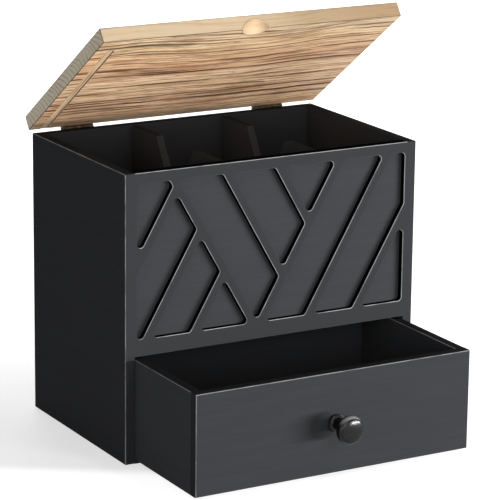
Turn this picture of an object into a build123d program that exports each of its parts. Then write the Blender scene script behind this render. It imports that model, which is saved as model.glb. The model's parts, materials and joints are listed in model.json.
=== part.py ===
# Tabletop organizer box: a black board case with three top compartments and a patterned front,
# a drawer below them and a hinged lid of solid wood.
# The front faces -Y and +Z is up. The origin is the centre of the case's underside.
# The drawer stands pulled out and the lid stands part open.

import os
from math import cos, radians, sin, sqrt, tan

from build123d import *

# Case
case_width = 255.0
case_depth = 160.0
case_height = 226.0
board = 8.0
bottom_thickness = 3.0
floor_thickness = 5.0
outer_round = 0.8
rim_round = 0.6

# Dividers, with a rounded finger notch in the top edge
divider_thickness = 6.0
divider_drop = 1.0
notch_top_width = 60.0
notch_bottom_width = 34.0
notch_depth = 22.0
notch_shoulder_round = 8.0
notch_corner_round = 9.0

# Front pattern: pockets cut flat with a round cutter, which leave slanted ribs
pocket_depth = 5.0
pocket_rim_round = 0.6
cutter_radius = 3.0
rib_angle = 60.0
rib_width = 6.5
side_margin = 10.0
top_margin = 8.5
bottom_margin = 13.1

# Feet of the ribs at the pattern's lower edge, from the middle of the front
left_rising_foot = -68.5
left_rising_pitch = 40.8
right_rising_foot = -11.0
right_rising_pitch = 43.3
falling_foot = -17.1
falling_pitch = 45.5

# Drawer
drawer_height = 79.0
drawer_lift = 0.3
drawer_side_gap = 0.4
drawer_top_gap = 2.1
drawer_back_gap = 2.0
drawer_pulled_out = 95.5
drawer_bottom_thickness = 3.0
groove_depth = 3.0
groove_height = 4.0
panel_fit = 0.1

# Turned knob
knob_foot_radius = 6.8
knob_foot_thickness = 1.6
knob_neck_radius = 4.5
knob_cove_end = 4.2
knob_neck_end = 11.5
knob_head_radius = 11.0
knob_widest = 19.2
knob_face_radius = 8.6
knob_face_start = 23.4
knob_length = 24.5
knob_screw_radius = 2.0
knob_screw_depth = 10.0
knob_screw_head_radius = 4.0
knob_screw_head_height = 2.4
knob_screw_slot_length = 5.0
knob_screw_slot_width = 0.9
knob_screw_slot_depth = 1.2

# Lid
lid_thickness = 12.0
lid_overhang = 2.75
lid_gap = 0.5
lid_round = 0.8
lid_open_angle = 35.0
scoop_width = 24.0
scoop_height = 8.0
scoop_reach = 10.0
batten_width = 7.0
batten_groove_depth = 4.5
batten_sink = 0.5
batten_inset = 9.5
batten_stop = 16.0

# Hinges
hinge_length = 27.0
hinge_spacing = 174.0
leaf_thickness = 1.0
leaf_reach = 11.0
leaf_corner_round = 1.5
knuckle_radius = 2.5
knuckle_count = 5
knuckle_gap = 0.3
hinge_clearance = 0.3
pin_radius = 1.0
pin_fit = 0.06
pin_overhang = 0.5
pin_chamfer = 0.3

# Hinge screws
screw_spacing = 16.0
screw_length = 7.0
screw_shank_radius = 1.2
screw_head_radius = 2.0
screw_tip_radius = 0.4
screw_tip_length = 1.6
screw_fit = 0.05
screw_hole_spare = 0.3
recess_length = 2.2
recess_width = 0.45
recess_depth = 0.5
countersink_angle = 90.0

# Places that follow from the sizes
half_width = case_width / 2
front_y = -case_depth / 2
back_y = case_depth / 2
inner_half = half_width - board
inner_front_y = front_y + board
inner_back_y = back_y - board
drawer_low = bottom_thickness + drawer_lift
drawer_high = drawer_low + drawer_height
bay_top = drawer_high + drawer_top_gap
floor_top = bay_top + floor_thickness
divider_top = case_height - divider_drop
hinge_offset = knuckle_radius + hinge_clearance
hinge_y = back_y + hinge_offset
hinge_z = case_height + lid_gap / 2
screw_row = (hinge_offset + leaf_reach) / 2
hinge_xs = (-hinge_spacing / 2, hinge_spacing / 2)
screw_xs = (-screw_spacing / 2, screw_spacing / 2)


def block(x_low, x_high, y_low, y_high, z_low, z_high, mode=Mode.ADD):
    # A straight board or cut between two opposite corners of the builder's plane.
    middle = ((x_low + x_high) / 2, (y_low + y_high) / 2, (z_low + z_high) / 2)
    with Locations(middle):
        Box(x_high - x_low, y_high - y_low, z_high - z_low, mode=mode)


def save(builder, name):
    builder.part.label = name
    export_step(builder.part, f"parts/{name}.step")


os.makedirs("parts", exist_ok=True)

# Side boards, rounded everywhere except round the face that the other boards meet
for side, name in ((-1, "side_left"), (1, "side_right")):
    outer_x = side * half_width
    inner_x = side * inner_half
    with BuildPart() as side_board:
        block(min(outer_x, inner_x), max(outer_x, inner_x), front_y, back_y, 0, case_height)
        inner_face = side_board.faces().filter_by(Axis.X).sort_by(Axis.X)[0 if side > 0 else -1]
        fillet(side_board.edges() - inner_face.edges(), min(outer_round, board / 3))
    save(side_board, name)

# Bottom board between the sides, as far as the back board
with BuildPart() as bottom_board:
    block(-inner_half, inner_half, front_y, inner_back_y, 0, bottom_thickness)
save(bottom_board, "bottom_board")

# Back board between the sides, bored for the hinge screws
hinge_plane = Plane(origin=(0, hinge_y, hinge_z), x_dir=(1, 0, 0), z_dir=(0, 1, 0))
screw_hole_depth = screw_length - leaf_thickness + screw_hole_spare
with BuildPart() as back_panel:
    block(-inner_half, inner_half, inner_back_y, back_y, 0, case_height)
    back_top_edges = back_panel.edges().filter_by(Axis.X).group_by(Axis.Z)[-1]
    fillet(back_top_edges.sort_by(Axis.Y)[-1], rim_round)
    with Locations(hinge_plane):
        with Locations([(x + dx, screw_row, -hinge_offset) for x in hinge_xs for dx in screw_xs]):
            Cylinder(
                screw_shank_radius + screw_fit,
                screw_hole_depth,
                align=(Align.CENTER, Align.CENTER, Align.MAX),
                mode=Mode.SUBTRACT,
            )
save(back_panel, "back_panel")

# Ribs of the pattern: each runs from a foot on the lower edge, leaning right or left
pattern_low = bay_top + bottom_margin
pattern_rise = case_height - top_margin - pattern_low
pattern_width = case_width - 2 * side_margin
lean = 1 / tan(radians(rib_angle))
half_rib = rib_width / 2 / sin(radians(rib_angle))
left_feet = [left_rising_foot - step * left_rising_pitch for step in range(3)]
right_feet = [right_rising_foot + step * right_rising_pitch for step in range(3)]
falling_feet = [falling_foot + step * falling_pitch for step in range(3)]


def rib_outline(foot, slope, low, high):
    # The four corners of a rib between two heights above the pattern's lower edge.
    return [
        (foot - half_rib + low * slope, low),
        (foot + half_rib + low * slope, low),
        (foot + half_rib + high * slope, high),
        (foot - half_rib + high * slope, high),
    ]


def meeting_height(rising_foot, falling_from):
    # The height at which a rib that leans right meets one that leans left.
    return min((falling_from - rising_foot) / (2 * lean), pattern_rise)


# The left ribs end at the first falling rib, and the last two falling ribs end at a right one
ribs = [rib_outline(foot, lean, 0, meeting_height(foot, falling_feet[0])) for foot in left_feet]
ribs += [rib_outline(foot, lean, 0, pattern_rise) for foot in right_feet]
ribs += [rib_outline(falling_feet[0], -lean, 0, pattern_rise)]
ribs += [
    rib_outline(foot, -lean, meeting_height(right_feet[0], foot), pattern_rise)
    for foot in falling_feet[1:]
]

# Front board between the sides, above the drawer, with the pockets cut into it
pattern_plane = Plane(origin=(0, front_y, pattern_low), x_dir=(1, 0, 0), z_dir=(0, -1, 0))
with BuildPart() as front_panel:
    block(-inner_half, inner_half, front_y, inner_front_y, bay_top, case_height)
    front_edges = front_panel.edges().filter_by(Axis.X).group_by(Axis.Y)[0]
    fillet(front_edges, rim_round)
    with BuildSketch(pattern_plane):
        with Locations((0, pattern_rise / 2)):
            Rectangle(pattern_width, pattern_rise)
        for outline in ribs:
            with BuildLine():
                Polyline(*outline, close=True)
            make_face(mode=Mode.SUBTRACT)
        offset(amount=-cutter_radius, kind=Kind.INTERSECTION)
        offset(amount=cutter_radius, kind=Kind.ARC)
    extrude(amount=-pocket_depth, mode=Mode.SUBTRACT)
    front_face = front_panel.faces().filter_by(Axis.Y).sort_by(Axis.Y)[0]
    rims = [edge for wire in front_face.inner_wires() for edge in wire.edges()]
    fillet(rims, min(pocket_rim_round, pocket_depth / 2))
save(front_panel, "front_panel")

# Floor of the compartments
with BuildPart() as compartment_floor:
    block(-inner_half, inner_half, inner_front_y, inner_back_y, bay_top, floor_top)
save(compartment_floor, "compartment_floor")

# Two dividers that part the case into three equal compartments
compartment_width = (2 * inner_half - 2 * divider_thickness) / 3
divider_offset = (compartment_width + divider_thickness) / 2
for side, name in ((-1, "divider_left"), (1, "divider_right")):
    divider_low_x = side * divider_offset - divider_thickness / 2
    divider_plane = Plane(origin=(divider_low_x, 0, 0), x_dir=(0, 1, 0), z_dir=(1, 0, 0))
    notch_floor = divider_top - notch_depth
    with BuildPart() as divider:
        with BuildSketch(divider_plane) as divider_face:
            with BuildLine():
                Polyline(
                    (inner_front_y, floor_top),
                    (inner_back_y, floor_top),
                    (inner_back_y, divider_top),
                    (notch_top_width / 2, divider_top),
                    (notch_bottom_width / 2, notch_floor),
                    (-notch_bottom_width / 2, notch_floor),
                    (-notch_top_width / 2, divider_top),
                    (inner_front_y, divider_top),
                    close=True,
                )
            make_face()
            notch_corners = divider_face.vertices().filter_by_position(
                Axis.Z, notch_floor - board, notch_floor + board / 2
            )
            notch_shoulders = divider_face.vertices().filter_by_position(
                Axis.Y, -notch_top_width / 2 - 1, notch_top_width / 2 + 1
            )
            fillet(notch_corners, notch_corner_round)
            fillet(notch_shoulders - notch_corners, notch_shoulder_round)
        extrude(amount=divider_thickness)
    save(divider, name)

# Drawer boards, pulled out along -Y
drawer_half = inner_half - drawer_side_gap
drawer_inner_half = drawer_half - board
drawer_front_y = front_y - drawer_pulled_out
drawer_back_y = inner_back_y - drawer_back_gap - drawer_pulled_out
drawer_inner_front_y = drawer_front_y + board
drawer_inner_back_y = drawer_back_y - board
groove_low = drawer_low + groove_height
knob_z = drawer_low + drawer_height / 2


def cut_bottom_groove():
    # The groove for the drawer's bottom, which runs round all four boards.
    block(
        -drawer_inner_half - groove_depth,
        drawer_inner_half + groove_depth,
        drawer_inner_front_y - groove_depth,
        drawer_inner_back_y + groove_depth,
        groove_low,
        groove_low + drawer_bottom_thickness + panel_fit,
        Mode.SUBTRACT,
    )


with BuildPart() as drawer_front:
    block(-drawer_half, drawer_half, drawer_front_y, drawer_inner_front_y, drawer_low, drawer_high)
    face_edges = drawer_front.faces().filter_by(Axis.Y).sort_by(Axis.Y)[0].edges()
    fillet(face_edges, min(outer_round, board / 3))
    cut_bottom_groove()
    with Locations(Plane(origin=(0, drawer_inner_front_y, knob_z), z_dir=(0, 1, 0))):
        Hole(knob_screw_radius + screw_fit, board)
save(drawer_front, "drawer_front")

for side, name in ((-1, "drawer_left_side"), (1, "drawer_right_side")):
    outer_x = side * drawer_half
    inner_x = side * drawer_inner_half
    with BuildPart() as drawer_side:
        block(
            min(outer_x, inner_x),
            max(outer_x, inner_x),
            drawer_inner_front_y,
            drawer_back_y,
            drawer_low,
            drawer_high,
        )
        fillet(drawer_side.edges().filter_by(Axis.Y).group_by(Axis.Z)[-1], rim_round)
        cut_bottom_groove()
    save(drawer_side, name)

with BuildPart() as drawer_back:
    block(
        -drawer_inner_half,
        drawer_inner_half,
        drawer_inner_back_y,
        drawer_back_y,
        drawer_low,
        drawer_high,
    )
    fillet(drawer_back.edges().filter_by(Axis.X).group_by(Axis.Z)[-1], rim_round)
    cut_bottom_groove()
save(drawer_back, "drawer_back")

with BuildPart() as drawer_bottom:
    tongue = groove_depth - panel_fit
    block(
        -drawer_inner_half - tongue,
        drawer_inner_half + tongue,
        drawer_inner_front_y - tongue,
        drawer_inner_back_y + tongue,
        groove_low,
        groove_low + drawer_bottom_thickness,
    )
save(drawer_bottom, "drawer_bottom")

# Mushroom knob, turned about an axis along -Y and bored for its screw
knob_plane = Plane(origin=(0, drawer_front_y, knob_z), x_dir=(0, -1, 0), z_dir=(-1, 0, 0))
knob_axis = Axis((0, drawer_front_y, knob_z), (0, -1, 0))
with BuildPart() as drawer_knob:
    with BuildSketch(knob_plane):
        with BuildLine():
            foot = Polyline((0, 0), (0, knob_foot_radius), (knob_foot_thickness, knob_foot_radius))
            cove = Spline(
                foot @ 1, (knob_cove_end, knob_neck_radius), tangents=((0.4, -1), (1, 0))
            )
            neck = Line(cove @ 1, (knob_neck_end, knob_neck_radius))
            flare = Spline(neck @ 1, (knob_widest, knob_head_radius), tangents=((1, 0), (1, 0)))
            shoulder = Spline(
                flare @ 1, (knob_face_start, knob_face_radius), tangents=((1, 0), (0.3, -1))
            )
            dome = Spline(shoulder @ 1, (knob_length, 0), tangents=((0.3, -1), (0, -1)))
            Line(dome @ 1, foot @ 0)
        make_face()
    revolve(axis=knob_axis)
    with Locations(Plane(origin=(0, drawer_front_y, knob_z), z_dir=(0, 1, 0))):
        Hole(knob_screw_radius + screw_fit, knob_screw_depth)
save(drawer_knob, "drawer_knob")

knob_screw_plane = Plane(origin=(0, drawer_inner_front_y, knob_z), z_dir=(0, 1, 0))
with BuildPart(knob_screw_plane) as knob_screw:
    Cylinder(
        knob_screw_radius,
        board + knob_screw_depth - screw_hole_spare,
        align=(Align.CENTER, Align.CENTER, Align.MAX),
    )
    Cylinder(
        knob_screw_head_radius,
        knob_screw_head_height,
        align=(Align.CENTER, Align.CENTER, Align.MIN),
    )
    head_rim = knob_screw.edges().filter_by(GeomType.CIRCLE).group_by(Axis.Y)[-1]
    fillet(head_rim, knob_screw_head_height / 3)
    with Locations((0, 0, knob_screw_head_height)):
        for turn in (0, 90):
            Box(
                knob_screw_slot_length,
                knob_screw_slot_width,
                knob_screw_slot_depth * 2,
                rotation=(0, 0, turn),
                mode=Mode.SUBTRACT,
            )
save(knob_screw, "knob_screw")

# Planes of the lid: flat in the lid, and on its back edge for the hinges
tilt = radians(lid_open_angle)
lid_plane = Plane(origin=(0, hinge_y, hinge_z), x_dir=(1, 0, 0), z_dir=(0, sin(tilt), cos(tilt)))
lid_edge_plane = Plane(
    origin=(0, hinge_y, hinge_z), x_dir=(-1, 0, 0), z_dir=(0, cos(tilt), -sin(tilt))
)
lid_half = half_width + lid_overhang
lid_front = -case_depth - hinge_offset
lid_under = lid_gap / 2
batten_x = -lid_half + batten_inset + batten_width / 2
batten_length = case_depth - batten_stop
batten_middle = -hinge_offset - batten_length / 2
scoop_drop = (scoop_width**2 / 4 - scoop_height**2) / (2 * scoop_height)
scoop_ahead = (scoop_width**2 / 4 - scoop_reach**2) / (2 * scoop_reach)
scoop_radius = sqrt(scoop_width**2 / 4 + scoop_drop**2 + scoop_ahead**2)



def strip_sketch():
    # A strip that runs from the lid's back edge to a round end short of its front edge.
    with Locations((batten_x, batten_middle + batten_width / 4)):
        Rectangle(batten_width, batten_length - batten_width / 2)
    with Locations((batten_x, batten_middle - (batten_length - batten_width) / 2)):
        Circle(batten_width / 2)


# Lid board, with a stopped groove near its left end and a thumb scoop in its front edge
with BuildPart(lid_plane) as plain_lid:
    block(-lid_half, lid_half, lid_front, -hinge_offset, lid_under, lid_under + lid_thickness)
    fillet(plain_lid.edges(), lid_round)
    with BuildSketch(lid_plane.offset(lid_under)):
        strip_sketch()
    extrude(amount=batten_groove_depth, mode=Mode.SUBTRACT)
    with Locations((0, lid_front - scoop_ahead, lid_under - scoop_drop)):
        Sphere(scoop_radius, mode=Mode.SUBTRACT)

# The same board, bored in its back edge for the hinge screws
with BuildPart() as lid_board:
    add(plain_lid.part)
    with Locations(lid_edge_plane):
        with Locations([(x + dx, screw_row, -hinge_offset) for x in hinge_xs for dx in screw_xs]):
            Cylinder(
                screw_shank_radius + screw_fit,
                screw_hole_depth,
                align=(Align.CENTER, Align.CENTER, Align.MAX),
                mode=Mode.SUBTRACT,
            )
save(lid_board, "lid_board")

# Batten let into the groove, slightly below the surface
with BuildPart() as lid_batten:
    with BuildSketch(lid_plane.offset(lid_under + batten_sink)):
        strip_sketch()
    extrude(amount=batten_groove_depth - batten_sink)
save(lid_batten, "lid_batten")

# Butt hinges on the back of the case and on the lid's back edge
knuckle_pitch = hinge_length / knuckle_count
knuckle_width = knuckle_pitch - knuckle_gap
leaf_face = -hinge_offset + leaf_thickness


def make_leaf(leaf_plane, centre_x, first_knuckle, name):
    # A leaf lies in its plane, with the pin along X, the plate along +Y and the screw heads up.
    with BuildPart(leaf_plane) as leaf:
        knuckle_xs = [
            centre_x - hinge_length / 2 + (step + 0.5) * knuckle_pitch
            for step in range(first_knuckle, knuckle_count, 2)
        ]
        block(
            centre_x - hinge_length / 2,
            centre_x + hinge_length / 2,
            hinge_offset,
            leaf_reach,
            -hinge_offset,
            leaf_face,
        )
        far_face = leaf.faces().sort_by(Axis(leaf_plane.origin, leaf_plane.y_dir))[-1]
        far_corners = far_face.edges().filter_by(Axis((0, 0, 0), leaf_plane.z_dir))
        fillet(far_corners, leaf_corner_round)
        for knuckle_x in knuckle_xs:
            block(
                knuckle_x - knuckle_width / 2,
                knuckle_x + knuckle_width / 2,
                0,
                hinge_offset,
                -hinge_offset,
                leaf_face,
            )
            with Locations((knuckle_x, 0, 0)):
                Cylinder(knuckle_radius, knuckle_width, rotation=(0, 90, 0))
        with Locations((centre_x, 0, 0)):
            Cylinder(pin_radius + pin_fit, hinge_length, rotation=(0, 90, 0), mode=Mode.SUBTRACT)
        with Locations([(centre_x + dx, screw_row, leaf_face) for dx in screw_xs]):
            CounterSinkHole(
                screw_shank_radius + screw_fit,
                screw_head_radius + screw_fit,
                leaf_thickness,
                counter_sink_angle=countersink_angle,
            )
    save(leaf, name)


def make_screws(leaf_plane, name):
    # Countersunk screws of both hinges in one plane, each with a cross recess.
    head_height = screw_head_radius - screw_shank_radius
    shank_length = screw_length - head_height - screw_tip_length
    downwards = (Align.CENTER, Align.CENTER, Align.MAX)
    with BuildPart(leaf_plane) as screws:
        with Locations([(x + dx, screw_row, leaf_face) for x in hinge_xs for dx in screw_xs]):
            Cone(screw_shank_radius, screw_head_radius, head_height, align=downwards)
            with Locations((0, 0, -head_height)):
                Cylinder(screw_shank_radius, shank_length, align=downwards)
                with Locations((0, 0, -shank_length)):
                    Cone(screw_tip_radius, screw_shank_radius, screw_tip_length, align=downwards)
            for turn in (0, 90):
                Box(
                    recess_length,
                    recess_width,
                    recess_depth * 2,
                    rotation=(0, 0, turn),
                    mode=Mode.SUBTRACT,
                )
    save(screws, name)


for centre_x, side_name in ((hinge_xs[0], "left"), (hinge_xs[1], "right")):
    make_leaf(hinge_plane, centre_x, 0, f"hinge_{side_name}_case_leaf")
    make_leaf(lid_edge_plane, -centre_x, 1, f"hinge_{side_name}_lid_leaf")
    with BuildPart(hinge_plane) as hinge_pin:
        with Locations((centre_x, 0, 0)):
            Cylinder(pin_radius, hinge_length + 2 * pin_overhang, rotation=(0, 90, 0))
        chamfer(hinge_pin.edges().filter_by(GeomType.CIRCLE), pin_chamfer)
    save(hinge_pin, f"hinge_{side_name}_pin")

make_screws(hinge_plane, "hinge_case_screws")
make_screws(lid_edge_plane, "hinge_lid_screws")
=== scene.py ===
import json
import math

import bpy
from mathutils import Matrix, Vector

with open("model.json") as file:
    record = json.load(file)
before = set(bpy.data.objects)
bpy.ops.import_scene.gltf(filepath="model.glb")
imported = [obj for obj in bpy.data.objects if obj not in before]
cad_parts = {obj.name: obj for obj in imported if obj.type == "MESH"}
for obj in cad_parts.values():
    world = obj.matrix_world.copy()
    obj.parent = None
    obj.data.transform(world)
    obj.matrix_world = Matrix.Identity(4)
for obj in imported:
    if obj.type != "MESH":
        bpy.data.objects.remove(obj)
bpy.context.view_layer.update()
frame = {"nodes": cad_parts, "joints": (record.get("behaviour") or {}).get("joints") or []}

bpy.ops.object.select_all(action="DESELECT")
print("frame loaded:", len(frame["nodes"]), "pieces")


# node helpers
def addNode(tree, kind, inputs=None, **settings):
    made = tree.nodes.new(kind)
    for name, value in settings.items():
        setattr(made, name, value)
    for name, value in (inputs or {}).items():
        plug(tree, made.inputs[name], value)
    return made


def plug(tree, socket, value):  # sets a plain value, or links another node's output
    if isinstance(value, bpy.types.NodeSocket):
        tree.links.new(value, socket)
    else:
        socket.default_value = value


def calc(tree, operation, first, second=0.0, third=0.0, clamp=False):
    made = addNode(tree, "ShaderNodeMath", {0: first, 1: second, 2: third}, operation=operation)
    made.use_clamp = clamp
    return made.outputs[0]


def between(tree, value, low, high, toLow=0.0, toHigh=1.0):  # smooth step from low to high
    made = addNode(tree, "ShaderNodeMapRange", {
        "Value": value, "From Min": low, "From Max": high, "To Min": toLow, "To Max": toHigh,
    }, interpolation_type="SMOOTHSTEP")
    return made.outputs["Result"]


def measure(tree, operation, first, second):  # a number from two vectors, such as their distance
    made = addNode(tree, "ShaderNodeVectorMath", {0: first, 1: second}, operation=operation)
    return made.outputs["Value"]


def splitUp(tree, vector):
    return addNode(tree, "ShaderNodeSeparateXYZ", {0: vector}).outputs


def opaque(colour):
    return (*colour, 1.0)


def mixColour(tree, share, first, second, blend="MIX"):
    made = addNode(tree, "ShaderNodeMix", {"Factor": share}, data_type="RGBA", blend_type=blend)
    for socket, value in ((made.inputs[6], first), (made.inputs[7], second)):
        plug(tree, socket, value)
    return made.outputs[2]


def noise(tree, vector, scale, detail=3.0, rough=0.5):
    return addNode(tree, "ShaderNodeTexNoise", {
        "Vector": vector, "Scale": scale, "Detail": detail, "Roughness": rough}).outputs[0]


def stretch(tree, vector, amount):
    made = addNode(tree, "ShaderNodeVectorMath", {0: vector, 1: amount}, operation="MULTIPLY")
    return made.outputs[0]


def ramp(tree, value, stops, smooth=True):
    made = addNode(tree, "ShaderNodeValToRGB", {"Fac": value})
    made.color_ramp.interpolation = "EASE" if smooth else "LINEAR"
    points = made.color_ramp.elements
    ordered = sorted(stops)
    for point, (place, colour) in ((points[0], ordered[0]), (points[1], ordered[-1])):
        point.position = place
        point.color = opaque(colour)
    for place, colour in ordered[1:-1]:
        points.new(place).color = opaque(colour)
    return made.outputs["Color"]


def addBump(tree, shader, height, strength, distance):
    bump = addNode(tree, "ShaderNodeBump", {
        "Height": height, "Strength": strength, "Distance": distance})
    tree.links.new(bump.outputs[0], shader.inputs["Normal"])


def newMaterial(name):
    material = bpy.data.materials.new(name)
    material.use_nodes = True
    shader = material.node_tree.nodes["Principled BSDF"]
    coords = addNode(material.node_tree, "ShaderNodeTexCoord").outputs
    return material, material.node_tree, shader, coords["Object"], coords["Normal"]


def wear(pieceName, material):
    slots = frame["nodes"][pieceName].data.materials
    slots.clear()
    slots.append(material)


def newGroup(name, inputs, outputs):
    group = bpy.data.node_groups.new(name, "ShaderNodeTree")
    for way, sockets in (("INPUT", inputs), ("OUTPUT", outputs)):
        for socketName, kind in sockets.items():
            group.interface.new_socket(name=socketName, in_out=way, socket_type=kind)
    given = group.nodes.new("NodeGroupInput").outputs
    result = group.nodes.new("NodeGroupOutput").inputs
    return group, given, result


def useGroup(tree, group, inputs):
    return addNode(tree, "ShaderNodeGroup", inputs, node_tree=group).outputs


# rubbed edges of the boards with a painted highlight, found by how their surface turns away from
# the broad face
edgeLook = {
    "turned": (0.12, 0.5),
    "patchSize": 70.0,
    "patchy": (0.3, 0.6, 0.45, 1.0),
    "sideFrom": -0.25,
    "sideTo": 0.3,
}


def makeEdgeRubAndHighlight():
    group, given, result = newGroup("edgeRubAndHighlight", {
        "Place": "NodeSocketVector", "Normal": "NodeSocketVector", "Face": "NodeSocketVector",
        "LitSide": "NodeSocketVector", "Least": "NodeSocketFloat"}, {"Mask": "NodeSocketFloat"})
    facing = measure(group, "DOT_PRODUCT", given["Normal"], given["Face"])
    facing = calc(group, "ABSOLUTE", facing)
    aside = calc(group, "SUBTRACT", 1.0, calc(group, "MULTIPLY", facing, facing), clamp=True)
    aside = calc(group, "SQRT", aside)
    turned = between(group, calc(group, "MINIMUM", facing, aside), *edgeLook["turned"])
    patchy = noise(group, given["Place"], edgeLook["patchSize"])
    patchy = between(group, patchy, *edgeLook["patchy"])
    # edges that face the lit side get the strongest painted highlight
    highlightFacing = measure(group, "DOT_PRODUCT", given["Normal"], given["LitSide"])
    side = between(group, highlightFacing, edgeLook["sideFrom"], edgeLook["sideTo"], given["Least"])
    mask = calc(group, "MULTIPLY", calc(group, "MULTIPLY", turned, patchy), side)
    group.links.new(mask, result["Mask"])
    return group


# brushed streaks, smudges and pores of satin paint, as noise scale, detail and roughness
paintNoises = {
    "Streaks": (1.0, 5.0, 0.6),
    "Smudges": (22.0, 3.0, 0.55),
    "Pores": (1400.0, 2.0, 0.5),
}


def makePaintGrain():
    group, given, result = newGroup("paintGrain", {
        "Place": "NodeSocketVector", "Along": "NodeSocketVector"},
        {name: "NodeSocketFloat" for name in paintNoises})
    along = stretch(group, given["Place"], given["Along"])
    for name, values in paintNoises.items():
        place = along if name == "Streaks" else given["Place"]
        group.links.new(noise(group, place, *values), result[name])
    return group


edgeRubAndHighlight = makeEdgeRubAndHighlight()
paintGrain = makePaintGrain()

# black painted boards
blackPaint = {
    "colour": (0.0295, 0.0302, 0.0325),
    "streakColour": (0.0318, 0.0326, 0.0352),
    "rubbedHighlightColour": (0.36, 0.36, 0.36),
    "ribEdgeHighlightColour": (0.52, 0.53, 0.54),
    "topShadeColour": (0.024, 0.0245, 0.026),
    "wallShadeColour": (0.003, 0.003, 0.003),
    "litSide": (-0.95, 0.0, 0.3),  # the way the edges with the strongest painted highlight face
    "leastRubAndHighlight": 0.12,  # share of the rub and painted highlight on edges that face the other way
    "streaks": (0.35, 0.7),
    "frontTone": 1.25,
    "frontPlane": (-0.0765, -0.0785),  # from the pocket floors out to the ribs
    "facingFront": (-0.5, -0.9),
    "facingUp": (0.7, 0.95),
    "facingAside": (0.4, 0.15),
    "roughness": 0.44,
    "smudgeRoughness": 0.12,
    "streakRoughness": 0.04,
    "wallRoughness": 0.16,
    "specular": 0.0,
    "grainAcross": 420.0,
    "grainAlong": 16.0,
    "poreHeight": 0.5,
    "bump": (0.05, 0.0002),
}
# the lighting tones make lighter and darker copies of one black paint as painted light and shade,
# the drawer's left side lighter than its right
boardGrain = {  # grain direction, broad face's direction, how much the edges are rubbed and carry painted highlight, lighting tone
    "front_panel": ("x", "y", 0.9, 1.46), "drawer_front": ("x", "y", 0.8, 1.29),
    "side_left": ("y", "x", 0.8, 1.45), "side_right": ("y", "x", 0.8, 1.45),
    "back_panel": ("x", "y", 0.6, 1.5), "bottom_board": ("x", "z", 0.3, 1.3),
    "compartment_floor": ("x", "z", 0.0, 1.5),
    "divider_left": ("y", "x", 0.3, 1.6), "divider_right": ("y", "x", 0.3, 1.6),
    "drawer_left_side": ("y", "x", 0.8, 2.1), "drawer_right_side": ("y", "x", 0.8, 1.5),
    "drawer_back": ("x", "y", 0.5, 1.5), "drawer_bottom": ("x", "z", 0.0, 1.5),
}


def toned(colourName, lightingTone):
    return opaque([lightingTone * part for part in blackPaint[colourName]])


def paintBoard(pieceName, grainAxis, faceAxis, rubAndHighlight, lightingTone):
    material, tree, shader, place, normal = newMaterial("blackPaint_" + pieceName)
    isPatterned = pieceName == "front_panel"
    along = [blackPaint["grainAcross"]] * 3
    along["xyz".index(grainAxis)] = blackPaint["grainAlong"]
    face = [0.0, 0.0, 0.0]
    face["xyz".index(faceAxis)] = 1.0
    grain = useGroup(tree, paintGrain, {"Place": place, "Along": along})
    rubbed = useGroup(tree, edgeRubAndHighlight, {
        "Place": place, "Normal": normal, "Face": face, "LitSide": blackPaint["litSide"],
        "Least": 0.0 if isPatterned else blackPaint["leastRubAndHighlight"]})
    streaks = between(tree, grain["Streaks"], *blackPaint["streaks"])
    colour = mixColour(tree, streaks, toned("colour", lightingTone), toned("streakColour", lightingTone))
    turned = splitUp(tree, normal)
    if isPatterned or pieceName.startswith("side_"):
        # ribs, frame and the sides' front ends are one plane, darker than the pocket floors
        outer = between(tree, splitUp(tree, place)[1], *blackPaint["frontPlane"])
        outer = calc(tree, "MULTIPLY", outer, between(tree, turned[1], *blackPaint["facingFront"]))
        colour = mixColour(tree, outer, colour, toned("colour", blackPaint["frontTone"]))
    shadedTop = between(tree, turned[2], *blackPaint["facingUp"])  # painted shade: top rims are the darkest
    colour = mixColour(tree, shadedTop, colour, opaque(blackPaint["topShadeColour"]))
    rough = calc(tree, "MULTIPLY_ADD", grain["Smudges"], blackPaint["smudgeRoughness"],
                 blackPaint["roughness"])
    rough = calc(tree, "MULTIPLY_ADD", streaks, blackPaint["streakRoughness"], rough)
    if isPatterned:  # the walls of the cut pockets get a painted shade, a deeper black, and are glossier
        shadedWalls = calc(tree, "ABSOLUTE", turned[1])
        shadedWalls = between(tree, shadedWalls, *blackPaint["facingAside"])
        colour = mixColour(tree, shadedWalls, colour, opaque(blackPaint["wallShadeColour"]))
        change = calc(tree, "SUBTRACT", blackPaint["wallRoughness"], rough)
        rough = calc(tree, "MULTIPLY_ADD", shadedWalls, change, rough)
    # edges are lighter partly as rubbed paint and partly as a painted highlight, brightest on the
    # pocket rims
    edgeColour = blackPaint["ribEdgeHighlightColour" if isPatterned else "rubbedHighlightColour"]
    mask = calc(tree, "MULTIPLY", rubbed["Mask"], rubAndHighlight)
    colour = mixColour(tree, mask, colour, opaque(edgeColour))
    tree.links.new(colour, shader.inputs["Base Color"])
    tree.links.new(rough, shader.inputs["Roughness"])
    shader.inputs["Specular IOR Level"].default_value = blackPaint["specular"]
    height = calc(tree, "MULTIPLY_ADD", grain["Pores"], blackPaint["poreHeight"], grain["Streaks"])
    addBump(tree, shader, height, *blackPaint["bump"])
    wear(pieceName, material)


for pieceName, values in boardGrain.items():
    paintBoard(pieceName, *values)
print("boards painted:", len(boardGrain))

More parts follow.
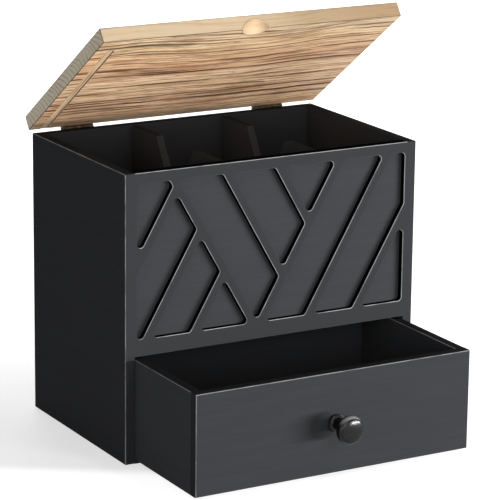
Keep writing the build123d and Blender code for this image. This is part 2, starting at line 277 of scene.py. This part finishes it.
# solid wood of the lid
lidHinge = next(joint for joint in frame["joints"] if joint["name"] == "lid_hinge")
lidOpenAngle = math.radians(35)
lidWood = {
    "lineColour": (0.055, 0.026, 0.012),
    "streakColour": (0.5, 0.37, 0.28),
    "streakShare": 0.74,
    "endColour": (0.9, 0.8, 0.62),
    "endLine": (0.6, 0.5, 0.36),
    "endGrit": (0.16, 0.13, 0.09),
    "edgeColour": (0.05, 0.032, 0.02),
    "frontPale": (0.57, 0.44, 0.29),
    "frontGolden": (0.37, 0.255, 0.145),
    "frontStreaks": 0.35,  # how much of the underside's streaks shows on the front edge
    "goldenWander": 0.25,
    "scoopColour": (0.46, 0.32, 0.19),
    "scoopPaintedLight": (0.9, 0.66, 0.42),
    "scoopStreaks": 0.2,
    "scoopMiddle": (0.0, -0.165, -0.00475),
    "scoopRadius": 0.01319,
    "threadDarkness": 0.85,
    "poreDarkness": 0.45,
    "rimShadeDarkness": 0.85,
    "scoopRimShadeDarkness": 0.6,
    "roughness": 0.54,
    "streakRoughness": 0.15,
    "specular": 0.25,
    "lineHeight": -0.6,
    "bump": (0.25, 0.0003),
    "span": 0.18,  # depth of wood that the tones cover, from the hinge
    "ringSlant": 1.5,
    "ringDip": 0.0085,
    "ringWander": 0.009,
    "ringRipple": 0.0022,
    "figureDepth": 0.054,
    "figureX": 0.06,
    "figureSpread": 0.0009,
    "closeRings": 1500.0,
    "endRings": 1100.0,
    "endCurve": 70.0,
    "endBend": 0.012,
    "tones": [  # depth from the hinge in millimetres, and the wood's tone there, darker near the hinge partly as painted shade
        (0, (0.66, 0.44, 0.26)), (14, (0.80, 0.54, 0.33)), (27, (0.80, 0.52, 0.32)),
        (36, (0.84, 0.56, 0.35)), (46, (0.80, 0.53, 0.33)), (58, (0.92, 0.64, 0.40)),
        (72, (0.96, 0.67, 0.42)), (88, (0.98, 0.70, 0.45)), (98, (0.88, 0.55, 0.33)),
        (112, (0.88, 0.55, 0.33)), (124, (0.94, 0.62, 0.37)), (134, (0.98, 0.66, 0.40)),
        (142, (0.99, 0.72, 0.43)), (152, (0.99, 0.73, 0.46)), (161, (0.96, 0.72, 0.46)),
        (166, (0.86, 0.64, 0.41)), (180, (0.74, 0.54, 0.34)),
    ],
    "lines": [  # main growth lines: depth and near half's width in millimetres, darkness
        (10, 2.0, 0.4), (18.5, 2.4, 0.35), (28.5, 3.0, 0.85), (39.5, 4.2, 1.0),
        (49.0, 3.2, 0.95), (97.0, 4.4, 0.9), (108.5, 3.2, 0.75), (134.5, 3.6, 0.75),
        (156, 3.2, 0.75), (169, 2.0, 0.4),
    ],
    "lineFarHalf": 0.5,  # a line fades faster away from the hinge
    "noises": {  # stretch along, across and through the board, then detail and roughness
        "wander": ((8.0, 14.0, 10.0), 2.0, 0.5),
        "ripple": ((45.0, 160.0, 60.0), 3.0, 0.5),
        "fading": ((22.0, 60.0, 40.0), 2.0, 0.5),
        "patch": ((16.0, 90.0, 40.0), 2.0, 0.5),
        "streaks": ((14.0, 300.0, 60.0), 5.0, 0.65),
        "threads": ((7.0, 210.0, 30.0), 3.0, 0.55),
        "pores": ((75.0, 620.0, 620.0), 3.0, 0.5),
        "endBend": ((1.0, 45.0, 60.0), 2.0, 0.5),
        "endGrit": ((1800.0, 1800.0, 1800.0), 2.0, 0.5),
    },
    "steps": {  # where each mask starts and ends, and what it gives there if not 0 and 1
        "dipLeft": (-0.11, -0.02),
        "dipRight": (0.085, 0.02, 0.35, 1.0),
        "dipDepth": (0.05, 0.11),
        "shadedRightEnd": (-0.07, 0.11, 0.0, 0.2),
        "lines": (0.3, 0.75),
        "fading": (0.3, 0.6, 0.7, 1.0),
        "figureWidth": (0.0022, 0.0003),
        "figureTip": (0.0, 0.004),
        "figureFade": (0.12, 0.02, 0.15, 0.85),
        "bentReach": (0.002, 0.038, 1.0, 0.0),
        "bentStart": (-0.001, 0.001),
        "closeRings": (0.55, 0.98, 0.0, 0.6),
        "patch": (0.4, 0.58),
        "streaks": (0.44, 0.58),
        "threads": (0.58, 0.62),
        "pores": (0.57, 0.66),
        "facing": (0.6, 0.85),
        "endRings": (0.0, 1.0),
        "endFading": (0.35, 0.6, 0.25, 0.9),
        "endGrit": (0.4, 0.75, 0.0, 0.3),
        "golden": (0.08, 0.25),
        "scoopPaintedLightSpan": (-0.008, 0.009),
        "inScoop": (0.0004, 0.0001),
        "outOfScoop": (0.0002, 0.0005),
        "rounding": (0.985, 0.9),
        "scoopRimIn": (0.0003, 0.0004),
        "scoopRimOut": (0.0009, 0.0006),
    },
}


def lidNoise(tree, vector, name):
    amount, detail, rough = lidWood["noises"][name]
    return noise(tree, stretch(tree, vector, amount), 1.0, detail, rough)


def lidStep(tree, value, name):
    return between(tree, value, *lidWood["steps"][name])


def lidPlace(tree, place):  # turns a point of the open lid into the lid's own flat axes
    return addNode(tree, "ShaderNodeMapping", {
        "Vector": place, "Location": lidHinge["pos_m"], "Rotation": (-lidOpenAngle, 0, 0),
    }, vector_type="TEXTURE").outputs[0]


def product(tree, *values):
    result = values[0]
    for value in values[1:]:
        result = calc(tree, "MULTIPLY", result, value)
    return result


def ringDepth(tree, flat, parts, depth):
    # the rings wander along the board, dip in its front half and slant through its thickness
    wander = lidNoise(tree, flat, "wander")
    ripple = lidNoise(tree, flat, "ripple")
    ring = calc(tree, "MULTIPLY_ADD", parts[2], lidWood["ringSlant"], depth)
    hollow = product(tree, lidStep(tree, parts[0], "dipLeft"),
                     lidStep(tree, parts[0], "dipRight"), lidStep(tree, depth, "dipDepth"))
    ring = calc(tree, "MULTIPLY_ADD", hollow, lidWood["ringDip"], ring)
    for wave, amount in ((wander, lidWood["ringWander"]), (ripple, lidWood["ringRipple"])):
        ring = calc(tree, "MULTIPLY_ADD", calc(tree, "SUBTRACT", wave, 0.5), amount, ring)
    return ring, wander


def growthLines(tree, flat, share, toShare):
    stops = []
    for middle, width, dark in lidWood["lines"]:
        far = middle + lidWood["lineFarHalf"] * width
        stops += [((middle - width) * toShare, (0, 0, 0)), (middle * toShare, (dark,) * 3),
                  (far * toShare, (0, 0, 0))]
    lines = lidStep(tree, ramp(tree, share, stops, smooth=False), "lines")
    return calc(tree, "MULTIPLY", lines, lidStep(tree, lidNoise(tree, flat, "fading"), "fading"))


def pointedFigure(tree, flat, parts, ring):
    # a pointed figure where a ring lies flat in the face, and close faint rings round it
    across = calc(tree, "SUBTRACT", ring, lidWood["figureDepth"])
    behind = calc(tree, "SUBTRACT", lidWood["figureX"], parts[0], clamp=True)
    arm = calc(tree, "SQRT", calc(tree, "MULTIPLY", behind, lidWood["figureSpread"]))
    away = calc(tree, "ABSOLUTE", calc(tree, "SUBTRACT", across, arm))
    line = product(tree, lidStep(tree, away, "figureWidth"), lidStep(tree, behind, "figureTip"),
                   lidStep(tree, behind, "figureFade"))
    bent = product(tree, arm, lidStep(tree, across, "bentReach"),
                   lidStep(tree, across, "bentStart"))
    waves = calc(tree, "MULTIPLY", calc(tree, "SUBTRACT", ring, bent), lidWood["closeRings"])
    close = lidStep(tree, calc(tree, "SINE", waves), "closeRings")
    patch = lidStep(tree, lidNoise(tree, flat, "patch"), "patch")
    return line, calc(tree, "MULTIPLY", close, patch)


def endGrain(tree, flat, parts, depth):  # greyer, with close curved rings
    thick = calc(tree, "MULTIPLY", parts[2], parts[2])
    curved = calc(tree, "MULTIPLY_ADD", thick, lidWood["endCurve"], depth)
    bend = lidNoise(tree, flat, "endBend")
    waves = calc(tree, "MULTIPLY_ADD", bend, lidWood["endBend"], curved)
    arcs = calc(tree, "SINE", calc(tree, "MULTIPLY", waves, lidWood["endRings"]))
    arcs = product(tree, lidStep(tree, arcs, "endRings"), lidStep(tree, bend, "endFading"))
    colour = mixColour(tree, arcs, opaque(lidWood["endColour"]), opaque(lidWood["endLine"]))
    grit = lidStep(tree, lidNoise(tree, flat, "endGrit"), "endGrit")
    return mixColour(tree, grit, colour, opaque(lidWood["endGrit"]))


def makeLidWood():
    material, tree, shader, place, normal = newMaterial("lidWood")
    flat = lidPlace(tree, place)
    parts = splitUp(tree, flat)
    depth = calc(tree, "MULTIPLY", parts[1], -1.0)
    ring, wander = ringDepth(tree, flat, parts, depth)
    share = calc(tree, "DIVIDE", ring, lidWood["span"])
    toShare = 0.001 / lidWood["span"]  # from millimetres to a share of the span
    lineColour = opaque(lidWood["lineColour"])
    tones = [(toneDepth * toShare, lightingTone) for toneDepth, lightingTone in lidWood["tones"]]
    colour = ramp(tree, share, tones)
    # painted shade, darker towards the board's right end
    colour = mixColour(tree, lidStep(tree, parts[0], "shadedRightEnd"), colour, lineColour)
    dark = growthLines(tree, flat, share, toShare)
    figureLine, closeRings = pointedFigure(tree, flat, parts, ring)
    # fine streaks and threads that follow the rings, and short dark pores
    along = addNode(tree, "ShaderNodeCombineXYZ", {0: parts[0], 1: ring, 2: parts[2]}).outputs[0]
    streaks = lidNoise(tree, along, "streaks")
    shade = lidStep(tree, streaks, "streaks")
    streaky = mixColour(tree, lidWood["streakShare"], colour, opaque(lidWood["streakColour"]),
                        "MULTIPLY")
    colour = mixColour(tree, shade, colour, streaky)
    threads = lidStep(tree, lidNoise(tree, along, "threads"), "threads")
    pores = lidStep(tree, lidNoise(tree, flat, "pores"), "pores")
    threads = calc(tree, "MULTIPLY", threads, lidWood["threadDarkness"])
    pores = calc(tree, "MULTIPLY", pores, lidWood["poreDarkness"])
    for mark in (figureLine, closeRings, threads, pores):
        dark = calc(tree, "MAXIMUM", dark, mark)
    colour = mixColour(tree, dark, colour, lineColour)
    # the two ends, by how the surface turns
    normal = addNode(tree, "ShaderNodeMapping", {
        "Vector": normal, "Rotation": (lidOpenAngle, 0, 0)}, vector_type="VECTOR").outputs[0]
    sizes = [calc(tree, "ABSOLUTE", part) for part in splitUp(tree, normal)]
    ends = endGrain(tree, flat, parts, depth)
    colour = mixColour(tree, lidStep(tree, sizes[0], "facing"), colour, ends)
    # the smooth pale front edge
    golden = calc(tree, "MULTIPLY_ADD", wander, lidWood["goldenWander"], parts[0])
    golden = lidStep(tree, golden, "golden")
    front = mixColour(tree, golden, opaque(lidWood["frontPale"]), opaque(lidWood["frontGolden"]))
    streaked = calc(tree, "MULTIPLY", shade, lidWood["frontStreaks"])
    front = mixColour(tree, streaked, front, colour)
    colour = mixColour(tree, lidStep(tree, sizes[1], "facing"), colour, front)
    # the clean thumb scoop, lighter towards its right side by painted light
    fromScoop = measure(tree, "DISTANCE", flat, lidWood["scoopMiddle"])
    outside = calc(tree, "SUBTRACT", fromScoop, lidWood["scoopRadius"])
    scoop = mixColour(tree, lidStep(tree, parts[0], "scoopPaintedLightSpan"), opaque(lidWood["scoopColour"]),
                      opaque(lidWood["scoopPaintedLight"]))
    streaked = calc(tree, "MULTIPLY", shade, lidWood["scoopStreaks"])
    scoop = mixColour(tree, streaked, scoop, colour)
    colour = mixColour(tree, lidStep(tree, outside, "inScoop"), colour, scoop)
    # a painted shade line round every face and round the scoop
    widest = calc(tree, "MAXIMUM", calc(tree, "MAXIMUM", sizes[0], sizes[1]), sizes[2])
    shadedRim = product(tree, lidStep(tree, widest, "rounding"), lidStep(tree, outside, "outOfScoop"))
    scoopShadedRim = product(tree, lidStep(tree, outside, "scoopRimIn"),
                       lidStep(tree, outside, "scoopRimOut"), lidWood["scoopRimShadeDarkness"])
    shadedRim = product(tree, calc(tree, "MAXIMUM", shadedRim, scoopShadedRim), lidWood["rimShadeDarkness"])
    colour = mixColour(tree, shadedRim, colour, opaque(lidWood["edgeColour"]))
    tree.links.new(colour, shader.inputs["Base Color"])
    rough = calc(tree, "MULTIPLY_ADD", streaks, lidWood["streakRoughness"], lidWood["roughness"])
    tree.links.new(rough, shader.inputs["Roughness"])
    shader.inputs["Specular IOR Level"].default_value = lidWood["specular"]
    height = calc(tree, "MULTIPLY_ADD", dark, lidWood["lineHeight"], streaks)
    addBump(tree, shader, height, *lidWood["bump"])
    return material


battenWood = {
    "stretch": (900.0, 16.0, 900.0),
    "noise": (1.0, 4.0, 0.6),
    "tones": [(0.3, (0.92, 0.65, 0.4)), (0.5, (0.74, 0.5, 0.3)), (0.66, (0.36, 0.22, 0.12))],
    "shadowLine": (-0.1151, -0.1147),  # a painted shadow at the joint on the batten's inner edge
    "shadowColour": (0.08, 0.045, 0.022),
    "roughness": 0.5,
    "streakRoughness": 0.2,
    "bump": (0.3, 0.0003),
}


def makeBattenWood():
    material, tree, shader, place, _ = newMaterial("battenWood")
    flat = lidPlace(tree, place)
    streaks = noise(tree, stretch(tree, flat, battenWood["stretch"]), *battenWood["noise"])
    colour = ramp(tree, streaks, battenWood["tones"])
    shadowLine = between(tree, splitUp(tree, flat)[0], *battenWood["shadowLine"])
    colour = mixColour(tree, shadowLine, colour, opaque(battenWood["shadowColour"]))
    tree.links.new(colour, shader.inputs["Base Color"])
    rough = calc(tree, "MULTIPLY_ADD", streaks, battenWood["streakRoughness"],
                 battenWood["roughness"])
    tree.links.new(rough, shader.inputs["Roughness"])
    addBump(tree, shader, streaks, *battenWood["bump"])
    return material


wear("lid_board", makeLidWood())
wear("lid_batten", makeBattenWood())
print("lid finished")

# knob, hinges and screws
metals = {
    "knob": {"colour": (0.006, 0.006, 0.0065), "rubbed": (0.009, 0.009, 0.01),
             "metallic": 0.0, "roughness": 0.1, "specular": 0.2},
    "bronze": {"colour": (0.045, 0.034, 0.022), "rubbed": (0.12, 0.09, 0.058),
               "metallic": 1.0, "roughness": 0.37, "specular": 0.5},
    "steel": {"colour": (0.5, 0.49, 0.47), "rubbed": (0.62, 0.61, 0.6),
              "metallic": 1.0, "roughness": 0.29, "specular": 0.5},
}
metalWear = {
    "patchNoise": (260.0, 4.0, 0.6),
    "patches": (0.4, 0.7),
    "scratchStretch": (300.0, 2400.0, 2400.0),
    "scratchNoise": (1.0, 2.0),
    "scratchRoughness": 0.14,
    "bump": (0.08, 0.0002),
}


def makeMetal(name):
    values = metals[name]
    material, tree, shader, place, _ = newMaterial(name)
    patches = between(tree, noise(tree, place, *metalWear["patchNoise"]), *metalWear["patches"])
    scratches = stretch(tree, place, metalWear["scratchStretch"])
    scratches = noise(tree, scratches, *metalWear["scratchNoise"])
    colour = mixColour(tree, patches, opaque(values["colour"]), opaque(values["rubbed"]))
    tree.links.new(colour, shader.inputs["Base Color"])
    shader.inputs["Metallic"].default_value = values["metallic"]
    shader.inputs["Specular IOR Level"].default_value = values["specular"]
    rough = calc(tree, "MULTIPLY_ADD", scratches, metalWear["scratchRoughness"],
                 values["roughness"])
    tree.links.new(rough, shader.inputs["Roughness"])
    addBump(tree, shader, scratches, *metalWear["bump"])
    return material


knobLine = {
    "middle": (0.0, 0.0, 0.0428),
    "radius": 0.0086,
    "line": (0.0006, 0.0),
    "lineColour": (0.001, 0.001, 0.001),
    "litBevel": (0.0003, 0.0006),
    "bevelHighlightColour": (0.22, 0.22, 0.22),
    "facingUp": (0.4, 0.85),
    "head": (-0.1945, -0.1955),
}


def lineKnob(material):  # a dark turned line round the face, and a painted highlight on the upward-facing bevel outside it
    tree = material.node_tree
    baseColour = tree.nodes["Principled BSDF"].inputs["Base Color"]
    coords = addNode(tree, "ShaderNodeTexCoord").outputs
    parts = splitUp(tree, coords["Object"])
    upright = addNode(tree, "ShaderNodeCombineXYZ", {0: parts[0], 1: 0.0, 2: parts[2]}).outputs[0]
    around = measure(tree, "DISTANCE", upright, knobLine["middle"])
    away = calc(tree, "SUBTRACT", around, knobLine["radius"])
    onHead = between(tree, parts[1], *knobLine["head"])
    facingUp = between(tree, splitUp(tree, coords["Normal"])[2], *knobLine["facingUp"])
    litBevel = product(tree, between(tree, away, *knobLine["litBevel"]), facingUp, onHead)
    line = between(tree, calc(tree, "ABSOLUTE", away), *knobLine["line"])
    plain = baseColour.links[0].from_socket
    colour = mixColour(tree, litBevel, plain, opaque(knobLine["bevelHighlightColour"]))
    line = calc(tree, "MULTIPLY", line, onHead)
    tree.links.new(mixColour(tree, line, colour, opaque(knobLine["lineColour"])), baseColour)


knob = makeMetal("knob")
lineKnob(knob)
wear("drawer_knob", knob)
wear("knob_screw", makeMetal("steel"))
bronze = makeMetal("bronze")
for pieceName in frame["nodes"]:
    if pieceName.startswith("hinge_"):
        wear(pieceName, bronze)
print("metal finished")


# stage
def seenRay(tree):  # 1 for rays that come from the camera, straight or by way of gloss or glass
    path = addNode(tree, "ShaderNodeLightPath").outputs
    mirrored = calc(tree, "MAXIMUM", path["Is Glossy Ray"], path["Is Transmission Ray"])
    return calc(tree, "MAXIMUM", path["Is Camera Ray"], mirrored)


floorLook = {
    "size": 16.0,
    "colour": (0.5, 0.5, 0.5),
    "paintedShadowMiddle": (-0.22, 0.0, 0.0),  # the floor carries a painted shadow, darkest at this place and whiter the farther from it
    "fade": (0.0, 0.5, 0.57, 1.0),
    "backward": (0.498, 0.867, 0.0),  # a fixed way over the floor, from before the box to behind
    "beforeBox": (-0.13, -0.16, 0.57, 0.88),  # and the painted shadow ends before the box
}
bpy.ops.mesh.primitive_plane_add(size=floorLook["size"], location=(0, 0, 0))
floor = bpy.context.object
floor.name = "floor"
material, tree, shader, place, _ = newMaterial("floorWhite")
tree.nodes.remove(shader)
matt = addNode(tree, "ShaderNodeBsdfDiffuse", {"Color": opaque(floorLook["colour"])})
# painted shadow: the floor's own white is weakest near the box's left side
far = measure(tree, "DISTANCE", place, floorLook["paintedShadowMiddle"])
back = measure(tree, "DOT_PRODUCT", place, floorLook["backward"])
whiter = calc(tree, "MAXIMUM", between(tree, far, *floorLook["fade"]),
              between(tree, back, *floorLook["beforeBox"]))
seen = calc(tree, "MULTIPLY", seenRay(tree), whiter)
white = addNode(tree, "ShaderNodeEmission", {"Color": (1, 1, 1, 1), "Strength": seen})
both = addNode(tree, "ShaderNodeAddShader", {0: matt.outputs[0], 1: white.outputs[0]})
tree.links.new(both.outputs[0], tree.nodes["Material Output"].inputs["Surface"])
floor.data.materials.append(material)

worldLook = {"light": 0.14, "shown": 1.0}
world = bpy.data.worlds.new("studio")
bpy.context.scene.world = world
world.use_nodes = True
tree = world.node_tree
background = tree.nodes["Background"]
strength = calc(tree, "MULTIPLY_ADD", seenRay(tree), worldLook["shown"] - worldLook["light"],
                worldLook["light"])
background.inputs["Color"].default_value = (1, 1, 1, 1)
tree.links.new(strength, background.inputs["Strength"])

lamps = {  # where each soft lamp stands, its width and height, and its power
    "keyRight": {"place": (1.5, -1.8, 0.11), "size": (1.4, 0.18), "power": 71.0},
    "frontLeft": {"place": (-0.2, -1.7, 0.42), "size": (1.0, 1.0), "power": 9.0},
    "leftFill": {"place": (-2.2, -1.3, 0.5), "size": (1.2, 1.2), "power": 10.0},
    "top": {"place": (0.5, -1.1, 2.1), "size": (0.4, 0.4), "power": 7.0},
    "backHigh": {"place": (0.8, 1.7, 2.0), "size": (1.2, 1.2), "power": 14.0},
    "backLow": {"place": (0.6, 2.4, 0.5), "size": (1.3, 1.3), "power": 45.0},
}
lampTarget = Vector((0, -0.03, 0.13))
for lampName, values in lamps.items():
    bpy.ops.object.light_add(type="AREA", location=values["place"])
    lamp = bpy.context.object
    lamp.name = lampName
    lamp.data.shape = "RECTANGLE"
    lamp.data.size, lamp.data.size_y = values["size"]
    lamp.data.energy = values["power"]
    lamp.rotation_euler = (lampTarget - lamp.location).to_track_quat("-Z", "Y").to_euler()

# camera, as the photograph was taken
photoCamera = {
    "place": (-0.99738, -1.77966, 0.68046),
    "azimuth": 29.877,
    "elevation": 14.984,
    "roll": 0.675,
    "lens": 191.99,
    "sensor": 36.0,
    "farthest": 50.0,
}
azimuth = math.radians(photoCamera["azimuth"])
elevation = math.radians(photoCamera["elevation"])
roll = Matrix.Rotation(math.radians(photoCamera["roll"]), 3, "Z")
forward = Vector((math.sin(azimuth) * math.cos(elevation),
                  math.cos(azimuth) * math.cos(elevation), -math.sin(elevation)))
right = forward.cross(Vector((0, 0, 1))).normalized()
up = right.cross(forward)
turn = Matrix((right, up, -forward)).transposed() @ roll
bpy.ops.object.camera_add(location=photoCamera["place"], rotation=turn.to_euler())
camera = bpy.context.object
camera.data.lens = photoCamera["lens"]
camera.data.sensor_width = photoCamera["sensor"]
camera.data.clip_end = photoCamera["farthest"]
bpy.context.scene.camera = camera
bpy.context.scene.view_settings.view_transform = "Standard"
print("stage ready")
